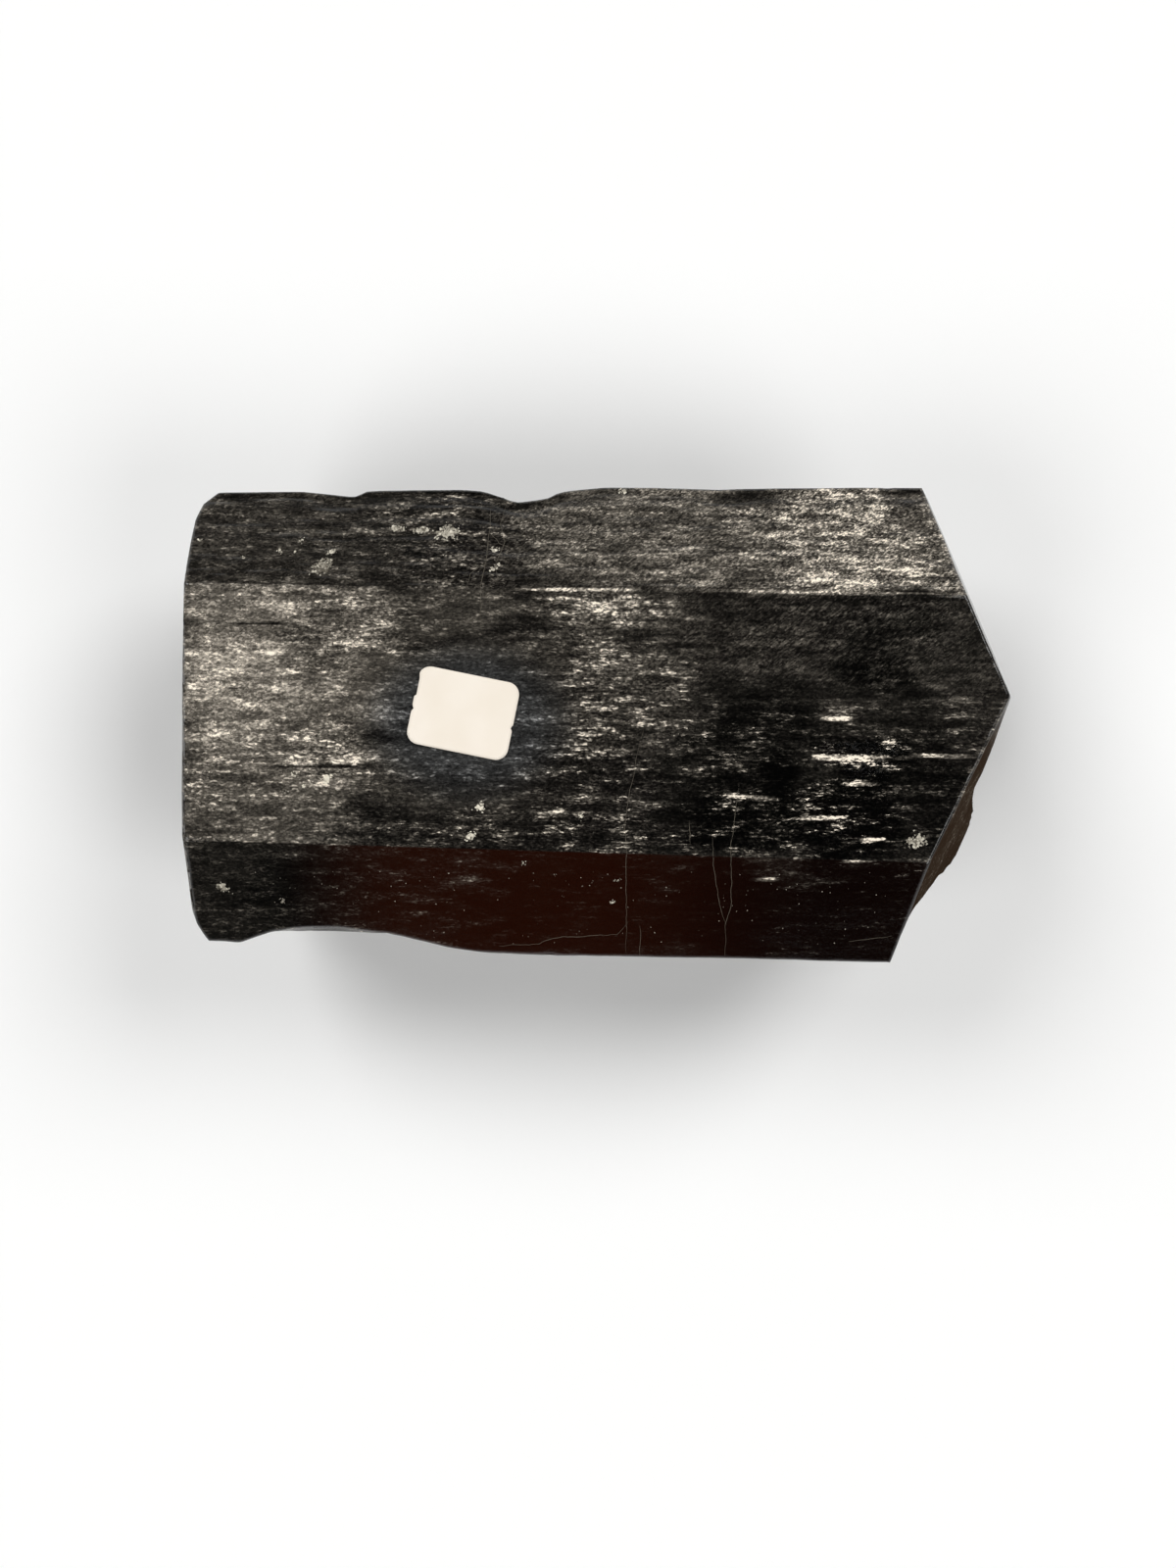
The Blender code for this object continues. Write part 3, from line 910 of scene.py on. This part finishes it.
def frosting_nodes(tree, fields):
    """Two outputs: how much frosting and painted sheen there is, and its bump. The sum of all
    layers, times the field grain, is the logarithm of how much more there is than the frosting
    field says. A flake is one cell of a Voronoi pattern, bright all over as a painted glint, and
    more of them are bright where the first noise is pale."""
    place = add(tree, "TexCoord", output="Object")
    pull = {"Vector": place, "Scale": 1 / (WARP_SIZE * MM), "Detail": 2.0}
    pull = {0: add(tree, "TexNoise", pull, "Color"), 1: [WARP_RANGE * MM] * 3, 2: place}
    warped = add(tree, "VectorMath", pull, operation="MULTIPLY_ADD")
    cells = []
    for size, turn, *_ in (*NOISES, *PAINTED_GLINT_FLAKES):
        turned = {"Rotation": (0, 0, math.radians(turn)), "Scale": [side * MM for side in size]}
        cells.append(add(tree, "Mapping", {"Vector": warped, **turned}, vector_type="TEXTURE"))

    spread, height, clumps = 0.0, 0.0, None
    for cell, (_, _, detail, weight, raised, where) in zip(cells, NOISES):
        layer = {"Vector": cell, "Scale": 1.0, "Detail": detail, "Roughness": ROUGHNESS}
        layer = {0: add(tree, "TexNoise", layer, "Fac"), 1: 0.5}
        layer = {0: add(tree, "Math", layer, operation="SUBTRACT"), 1: fields.get(where, 1.0)}
        layer = add(tree, "Math", layer, operation="MULTIPLY")
        clumps = clumps or layer
        spread = add(tree, "Math", {0: layer, 1: weight, 2: spread}, operation="MULTIPLY_ADD")
        height = add(tree, "Math", {0: layer, 1: raised, 2: height}, operation="MULTIPLY_ADD")
    # Each flake that is bright all over is a painted glint.
    for cell, (_, _, share, weight, where) in zip(cells[len(NOISES) :], PAINTED_GLINT_FLAKES):
        chance = add(tree, "TexVoronoi", {"Vector": cell, "Scale": 1.0}, "Color")
        chance = {0: clumps, 1: CLUMPING, 2: add(tree, "SeparateColor", {"Color": chance})}
        chance = add(tree, "Math", chance, operation="MULTIPLY_ADD")
        flake = {"Value": chance, "From Min": 1 - share, "To Max": weight}
        flake["To Min"] = -weight * share / (2 - share)  # so that the layer's mean is about 0
        flake = {0: add(tree, "MapRange", flake), 1: fields.get(where, 1.0), 2: spread}
        spread = add(tree, "Math", flake, operation="MULTIPLY_ADD")
    for size, steep in FACETS:
        facet = add(tree, "TexVoronoi", {"Vector": warped, "Scale": 1 / (size * MM)}, "Color")
        away = {0: warped, 1: facet.node.outputs["Position"]}
        away = add(tree, "VectorMath", away, operation="SUBTRACT")
        tilt = add(tree, "VectorMath", {0: facet, 1: [0.5] * 3}, operation="SUBTRACT")
        rise = add(tree, "VectorMath", {0: away, 1: tilt}, "Value", operation="DOT_PRODUCT")
        rise = add(tree, "Math", {0: rise, 1: fields["broken"]}, operation="MULTIPLY")
        rise = {0: rise, 1: 2 * steep / MICRON, 2: height}
        height = add(tree, "Math", rise, operation="MULTIPLY_ADD")

    spread = add(tree, "Math", {0: spread, 1: fields["grain"]}, operation="MULTIPLY")
    times = add(tree, "Math", {0: math.e, 1: spread}, operation="POWER")
    frost_and_sheen = {0: fields["frost_and_sheen"], 1: times}
    frost_and_sheen = add(tree, "Math", frost_and_sheen, operation="MULTIPLY", use_clamp=True)
    height = add(tree, "Math", {0: height, 1: fields["grain"]}, operation="MULTIPLY")
    return frost_and_sheen, add(tree, "Bump", {"Strength": 1.0, "Distance": MICRON, "Height": height})


def schorl_material(settings):
    """Schorl, the black iron tourmaline: glassy and opaque, nearly black with a clear gloss where
    it is bare. Etching and lost flakes along the c axis make it frosted in warm greys, into which
    the sheen and glints of lamps are painted too. Breaks have no long flakes, and iron stains some
    of them a dull brown; on the near part of the pyramid end that dull brown is in part a painted
    brown reflection, and the near bevel carries a painted reflection of a brown surface."""
    material, tree, shader = new_material("Schorl")
    fields = {name: add(tree, "Attribute", None, "Fac", attribute_name=name) for name in FIELDS}
    frost_and_sheen, bump = frosting_nodes(tree, fields)
    # The brown colour mixed in on the near bevel is a painted reflection of a brown surface.
    bare = {0: fields["brown"], 6: settings.stone_color, 7: settings.glow_color}
    bare = add(tree, "Mix", bare, 2, data_type="RGBA")
    bare = {0: fields["stain_and_reflection"], 6: bare, 7: settings.stain_color}
    bare = add(tree, "Mix", bare, 2, data_type="RGBA")
    pale = {0: fields["cool"], 6: settings.frost_and_sheen_color, 7: settings.cool_color}
    pale = add(tree, "Mix", pale, 2, data_type="RGBA")
    rough = {"Value": frost_and_sheen, "From Max": 0.4, "To Min": 0.1, "To Max": 0.45}
    rough = {0: fields["stain_and_reflection"], 2: add(tree, "MapRange", rough), 3: 0.9}
    # No gloss where it is stained; on the near part of the pyramid end a painted brown reflection
    # stands in for the real one.
    shine = {"Value": fields["stain_and_reflection"], "To Min": 0.3, "To Max": 0.0}
    look = {
        "Base Color": add(tree, "Mix", {0: frost_and_sheen, 6: bare, 7: pale}, 2, data_type="RGBA"),
        "Roughness": add(tree, "Mix", rough),
        "Specular IOR Level": add(tree, "MapRange", shine),
        "IOR": 1.64,
        "Normal": bump,
    }
    put_in(tree, shader, look)
    return material


def crust_material(settings):
    """Feldspar and mica: chalky white to buff grains with a dull pearly gloss."""
    material, tree, shader = new_material("Feldspar and mica")
    place = add(tree, "TexCoord", output="Object")
    pale = add(tree, "Attribute", None, "Fac", attribute_name="pale")
    grains = add(tree, "TexNoise", {"Vector": place, "Scale": 1 / (0.6 * MM), "Detail": 3.0})
    shade = add(tree, "Math", {0: grains, 1: 1.4, 2: -0.7}, operation="MULTIPLY_ADD")
    shade = add(tree, "Math", {0: shade, 1: pale}, operation="ADD", use_clamp=True)
    colour = {0: shade, 6: linear("#4c4538"), 7: settings.crust_color}
    look = {
        "Base Color": add(tree, "Mix", colour, 2, data_type="RGBA"),
        "Roughness": 0.6,
        "Normal": add(tree, "Bump", {"Strength": 0.6, "Distance": 0.1 * MM, "Height": grains}),
    }
    put_in(tree, shader, look)
    return material


def paper_material(settings):
    """Uncoated label paper: soft cream, matt, with a faint mottle of fibres."""
    material, tree, shader = new_material("Uncoated paper")
    place = add(tree, "TexCoord", output="Object")
    fibres = add(tree, "TexNoise", {"Vector": place, "Scale": 1 / (0.9 * MM), "Detail": 4.0})
    mottle = add(tree, "TexNoise", {"Vector": place, "Scale": 1 / (9 * MM), "Detail": 2.0})
    shade = {"Value": mottle, "From Min": 0.3, "From Max": 0.7, "To Max": 0.3}
    colour = {0: add(tree, "MapRange", shade), 6: settings.paper_color, 7: linear("#e2d6c2")}
    look = {
        "Base Color": add(tree, "Mix", colour, 2, data_type="RGBA"),
        "Roughness": 0.75,
        "Normal": add(tree, "Bump", {"Strength": 0.3, "Distance": 0.03 * MM, "Height": fibres}),
    }
    put_in(tree, shader, look)
    return material


class CrystalSettings(bpy.types.PropertyGroup):
    striation: bpy.props.FloatProperty(
        name="Striations", description="Depth of the striations along the crystal",
        default=0.05 * MM, min=0.0, unit="LENGTH", precision=5,
    )
    flake: bpy.props.FloatProperty(
        name="Flakes", description="Depth of the steps where flakes came off",
        default=0.10 * MM, min=0.0, unit="LENGTH", precision=5,
    )
    stone_color: bpy.props.FloatVectorProperty(
        name="Stone", description="Colour of the bare stone",
        subtype="COLOR", size=4, default=linear("#020202"),
    )
    # Also the colour of the painted brown reflection on the near part of the pyramid end.
    stain_color: bpy.props.FloatVectorProperty(
        name="Iron stain", description="Colour of stained breaks",
        subtype="COLOR", size=4, default=linear("#2e231a"),
    )
    # Not the bare stone's colour but a painted reflection of a brown surface on the near bevel.
    glow_color: bpy.props.FloatVectorProperty(
        name="Glow", description="Colour of the bare stone on the smooth near bevel",
        subtype="COLOR", size=4, default=linear("#1f0903"),
    )
    # Also the colour of the painted sheen and glints.
    frost_and_sheen_color: bpy.props.FloatVectorProperty(
        name="Frosting", description="Colour of a fully frosted flake",
        subtype="COLOR", size=4, default=linear("#fff2de"),
    )
    # Also the colour of the painted sheen round the label.
    cool_color: bpy.props.FloatVectorProperty(
        name="Cool frosting", description="Colour of the frosting round the label",
        subtype="COLOR", size=4, default=linear("#eeeeec"),
    )


class CrustSettings(bpy.types.PropertyGroup):
    crust_color: bpy.props.FloatVectorProperty(
        name="Crusts", description="Colour of the palest feldspar",
        subtype="COLOR", size=4, default=linear("#e6dfcd"),
    )
    crack_width: bpy.props.FloatProperty(
        name="Crack width", description="Width of the pale line along a crack",
        default=0.17 * MM, min=0.0, unit="LENGTH", precision=5,
    )


class LabelSettings(bpy.types.PropertyGroup):
    paper_color: bpy.props.FloatVectorProperty(
        name="Paper", description="Colour of the label",
        subtype="COLOR", size=4, default=linear("#f1e8db"),
    )


class StageSettings(bpy.types.PropertyGroup):
    light: bpy.props.FloatProperty(
        name="Light",
        description="Strength of the four softboxes together, in watts per square metre",
        default=4.6, min=0.0,
    )
    floor_color: bpy.props.FloatVectorProperty(
        name="Floor", description="Colour of the floor",
        subtype="COLOR", size=4, default=linear("#f7f7f6"),
    )


class TOURMALINE_OT_crystal(bpy.types.Operator):
    """Adds the crystal's surface, with its striations, flakes and breaks"""

    bl_idname = "tourmaline.crystal"
    bl_label = "Add Crystal"

    def execute(self, context):
        skin = built_skin(context)
        mesh = closed_mesh("tourmaline", skin.points)
        for name, values in frosting(skin).items():
            put_attribute(mesh, name, np.append(values.ravel(), [values[0, 0], values[-1, 0]]))
        material = schorl_material(context.scene.tourmaline_crystal)
        new_piece("tourmaline", mesh, material, "crystal")
        return {"FINISHED"}


def along_path(path, shares):
    """The distances along a path in plan at shares of its length, and x and y there."""
    run = np.append(0, np.cumsum(np.hypot(*np.diff(path))))
    s = shares * run[-1]
    return s, *(np.interp(s, run, line) for line in path)


def turned(x, y, u, v, angle):
    """The place (x, y) plus (u, v) turned by the angle, in radians."""
    return x + u * np.cos(angle) - v * np.sin(angle), y + u * np.sin(angle) + v * np.cos(angle)


def crack_grids(skin, width):
    """A low ridge along each crack: points of a flat ellipse carried along the path, which wanders
    a little and tapers at its ends. The ellipse's lower half is sunk in the stone."""
    angle = 2 * math.pi * np.arange(CRACK_SIDES) / CRACK_SIDES
    taper = np.sqrt(np.sin(math.pi * np.linspace(0.02, 0.98, CRACK_STEPS)))
    grids = []
    for number, crack in enumerate(CRACKS):
        s, x, y = along_path(np.array(crack).T, np.linspace(0, 1, CRACK_STEPS))
        along = np.stack([np.gradient(x), np.gradient(y)])
        side = np.stack([-along[1], along[0]]) / np.hypot(*along)
        wander = CRACK_WANDER * fractal(s / 3.0, number + 0.5, 0.0, 71)
        x, y = x + side[0] * wander, y + side[1] * wander
        half = width / 2 * taper * (0.75 + 0.35 * fractal(s / 2.0, number + 0.5, 0.0, 72))
        across = half[:, None] * np.cos(angle)
        plan_x = x[:, None] - side[0][:, None] * across
        plan_y = y[:, None] - side[1][:, None] * across
        points, normals = lie_on(skin, plan_x, plan_y)
        lift = CRACK_HEIGHT * half[:, None] * np.sin(angle)
        grids.append(points + normals * lift[..., None])
    return grids


class TOURMALINE_OT_cracks(bpy.types.Operator):
    """Adds the healed cracks that cross the upper faces"""

    bl_idname = "tourmaline.cracks"
    bl_label = "Add Cracks"

    def execute(self, context):
        settings = context.scene.tourmaline_crust
        grids = crack_grids(built_skin(context), settings.crack_width / MM)
        mesh = closed_mesh("healed_cracks", *grids)
        put_attribute(mesh, "pale", np.full(len(mesh.vertices), CRACK_PALENESS))
        new_piece("healed_cracks", mesh, crust_material(settings))
        return {"FINISHED"}


def crust_grains():
    """The crusts as grains: plan x and y, radius, thickness and paleness of each. They crowd in
    the middle of a crust's oval, whose rim is frayed, and single ones are strewn over the near
    bevel."""
    rng = np.random.default_rng(GRAIN_SEED)
    table = np.array(CRUSTS)
    counts = np.clip(table[:, 2] * table[:, 3] * GRAINS_PER_AREA, *GRAINS_IN_CRUST).astype(int)
    x, y, length, width, turn, thickness, pale = np.repeat(table, counts, axis=0).T
    total = len(x)
    angle = rng.uniform(0, 2 * math.pi, total)
    r = np.sqrt(rng.uniform(0, 1, total))
    r = r * (1 + STRAY_REACH * rng.normal(size=total) * (rng.random(total) < STRAY_GRAINS))
    u, v = length / 2 * r * np.cos(angle), width / 2 * r * np.sin(angle)
    x, y = turned(x, y, u, v, np.radians(turn))
    radius = rng.uniform(*GRAIN_RADIUS, total) * (1.2 - 0.75 * np.minimum(r, 1))
    radius = radius * np.minimum(np.sqrt(length * width) / 2.6, 1)
    thickness = thickness * rng.uniform(0.3, 0.8, total)
    crusts = x, y, radius, thickness, pale + rng.uniform(-0.3, 0.25, total)

    x = rng.uniform(*STREWN_X, STREWN)
    y = STREWN_Y[0] + (STREWN_Y[1] - STREWN_Y[0]) * rng.random(STREWN) ** 1.5
    radius = rng.uniform(*STREWN_RADIUS, STREWN)
    strewn = x, y, radius, radius * 0.6, rng.uniform(-0.1, 0.6, STREWN)
    return [np.concatenate(pair)[:, None, None] for pair in zip(crusts, strewn)]


def crust_grids(skin, grains):
    """A low lump for each grain: a middle ring, a rim, and a ring back under the surface, each a
    circle with its points moved in or out at random."""
    x, y, radius, thickness, _ = grains
    rng = np.random.default_rng(GRAIN_SEED + 1)
    angle = 2 * math.pi * np.arange(GRAIN_SIDES) / GRAIN_SIDES + rng.uniform(0, 7, x.shape)
    ragged = rng.uniform(0.5, 1.4, (len(x), 1, GRAIN_SIDES))
    out, up = np.array(GRAIN_RINGS).T[..., None]
    reach = radius * ragged * out
    points, normals = lie_on(skin, x + reach * np.cos(angle), y + reach * np.sin(angle))
    height = thickness * up * (0.7 + 0.3 * ragged)
    return points + normals * height[..., None]


class TOURMALINE_OT_crusts(bpy.types.Operator):
    """Adds the pale crusts of feldspar and mica on the upper faces"""

    bl_idname = "tourmaline.crusts"
    bl_label = "Add Crusts"

    def execute(self, context):
        grains = crust_grains()
        grids = crust_grids(built_skin(context), grains)
        mesh = closed_mesh("feldspar_crusts", *grids[:, :, ::-1])
        mesh.shade_flat()
        put_attribute(mesh, "pale", np.repeat(grains[-1], len(mesh.vertices) // len(grids)))
        material = crust_material(context.scene.tourmaline_crust)
        new_piece("feldspar_crusts", mesh, material)
        return {"FINISHED"}


def label_rim():
    """The label's outline about its centre: a rounded rectangle by arc length, with the left edge
    cut back in its upper half and a small nick in each short side."""
    half = np.array(LABEL_SIZE) / 2
    inner = half - LABEL_CORNER
    quarter = np.linspace(0, math.pi / 2, 9)
    arcs = []
    for number, (sx, sy) in enumerate(((1, 1), (-1, 1), (-1, -1), (1, -1))):
        turn = quarter + number * math.pi / 2
        x = sx * inner[0] + LABEL_CORNER * np.cos(turn)
        y = sy * inner[1] + LABEL_CORNER * np.sin(turn)
        arcs.append(np.stack([x, y]))
    rim = np.concatenate([*arcs, arcs[0][:, :1]], axis=1)
    _, x, y = along_path(rim, np.arange(LABEL_POINTS) / LABEL_POINTS)
    cut_back = LABEL_CUT * smoothstep(1.7, 2.1, y) * smoothstep(8.0, 6.0, y) * (x < -half[0] + 2)
    nick = LABEL_CUT * np.exp(-(((y + 1.2) / 0.45) ** 2)) * (np.abs(x) > half[0] - 1)
    return x + np.sign(-x) * (cut_back + nick), y


def label_grid():
    """The label as a closed sheet: rings from its middle out over the top, then back underneath.
    It lies a little unevenly, and its corners lift."""
    x, y = label_rim()
    rings = np.linspace(0.06, 1, LABEL_RINGS)
    share = np.append(rings, rings[::-1])[:, None]
    u, v = x * share, y * share
    waves = LABEL_WAVES * fractal(u / 7, v / 7, 0.0, 91)
    corners = np.abs(u * v) / (LABEL_SIZE[0] * LABEL_SIZE[1] / 4)
    corners = LABEL_LIFT * smoothstep(0.55, 1.0, corners)
    level = HEIGHT + LABEL_GAP + waves + corners
    sheet = np.repeat([LABEL_THICKNESS, 0.0], LABEL_RINGS)[:, None]
    centre = (LABEL_LOW + LABEL_HIGH) / 2
    plan = turned(centre[0], centre[1], u, v, math.radians(LABEL_TURN))
    return np.stack([*plan, level + sheet], axis=-1)


class TOURMALINE_OT_label(bpy.types.Operator):
    """Adds the bare paper label on the top face"""

    bl_idname = "tourmaline.label"
    bl_label = "Add Label"

    def execute(self, context):
        mesh = closed_mesh("paper_label", label_grid()[:, ::-1])
        material = paper_material(context.scene.tourmaline_label)
        new_piece("paper_label", mesh, material, "price_label")
        return {"FINISHED"}


class TOURMALINE_OT_stage(bpy.types.Operator):
    """Adds the floor, the softboxes, the studio's walls and the camera over the crystal"""

    bl_idname = "tourmaline.stage"
    bl_label = "Add Stage"

    def execute(self, context):
        settings = context.scene.tourmaline_stage
        scene = context.scene
        mesh = bpy.data.meshes.new("floor")
        corners = (-1, -1), (1, -1), (1, 1), (-1, 1)
        corners = [(x * FLOOR_REACH, y * FLOOR_REACH, 0) for x, y in corners]
        mesh.from_pydata(corners, [], [(0, 1, 2, 3)])
        floor = bpy.data.objects.new("floor", mesh)
        scene.collection.objects.link(floor)
        material, tree, shader = new_material("Paper backdrop")
        put_in(tree, shader, {"Base Color": settings.floor_color, "Roughness": 0.9})
        mesh.materials.append(material)

        for name, (toward, share) in SOFTBOXES.items():
            lamp = bpy.data.lights.new(name, "SUN")
            lamp.angle = math.radians(SOFTBOX_ANGLE)
            lamp.energy = settings.light * share
            softbox = bpy.data.objects.new(name, lamp)
            softbox.rotation_euler = Vector(toward).to_track_quat("Z", "Y").to_euler()
            scene.collection.objects.link(softbox)

        world = bpy.data.worlds.new("studio")
        world.use_nodes = True
        tree = world.node_tree
        rise = add(tree, "SeparateXYZ", {0: add(tree, "TexCoord", output="Generated")}, 2)
        low, high = (math.sin(math.radians(angle)) for angle in WALL_TOP)
        wall = {"Value": rise, "From Min": low, "From Max": high}
        wall.update({"To Min": WALL_LIGHT, "To Max": CEILING_LIGHT})
        wall = add(tree, "MapRange", wall, interpolation_type="SMOOTHSTEP")
        put_in(tree, tree.nodes["Background"], {"Color": (1, 1, 1, 1), "Strength": wall})
        scene.world = world

        lens = bpy.data.cameras.new("camera")
        lens.sensor_width = SENSOR
        lens.lens = PHOTO_FOCAL / PHOTO_HEIGHT * SENSOR
        lens.clip_start = 0.01
        camera = bpy.data.objects.new("camera", lens)
        camera.location = [side * MM for side in (*CAMERA_PLAN, HEIGHT + CAMERA_ABOVE_TOP)]
        scene.collection.objects.link(camera)
        scene.camera = camera
        scene.view_settings.view_transform = "Standard"
        return {"FINISHED"}


class TOURMALINE_PT_panel(bpy.types.Panel):
    """Lists what can be added, with its sizes and colours"""

    bl_idname = "TOURMALINE_PT_panel"
    bl_label = "Tourmaline Crystal"
    bl_space_type = "VIEW_3D"
    bl_region_type = "UI"
    bl_category = "Tourmaline"

    def draw(self, context):
        for operator, group in OPERATORS.items():
            box = self.layout.box()
            box.operator(operator.bl_idname)
            if group:
                settings = getattr(context.scene, group)
                for name in settings.__annotations__:
                    box.prop(settings, name)


GROUPS = {
    "tourmaline_crystal": CrystalSettings,
    "tourmaline_crust": CrustSettings,
    "tourmaline_label": LabelSettings,
    "tourmaline_stage": StageSettings,
}
# With the group of settings that the panel lists under each.
OPERATORS = {
    TOURMALINE_OT_crystal: "tourmaline_crystal",
    TOURMALINE_OT_cracks: "tourmaline_crust",
    TOURMALINE_OT_crusts: None,
    TOURMALINE_OT_label: "tourmaline_label",
    TOURMALINE_OT_stage: "tourmaline_stage",
}
CLASSES = (*GROUPS.values(), *OPERATORS, TOURMALINE_PT_panel)


def register():
    for cls in CLASSES:
        bpy.utils.register_class(cls)
    for name, group in GROUPS.items():
        setattr(bpy.types.Scene, name, bpy.props.PointerProperty(type=group))


def unregister():
    for name in GROUPS:
        delattr(bpy.types.Scene, name)
    for cls in reversed(CLASSES):
        bpy.utils.unregister_class(cls)


def main():
    register()
    bpy.ops.tourmaline.crystal()
    bpy.ops.tourmaline.cracks()
    bpy.ops.tourmaline.crusts()
    bpy.ops.tourmaline.label()
    bpy.ops.tourmaline.stage()


if __name__ == "__main__":
    main()
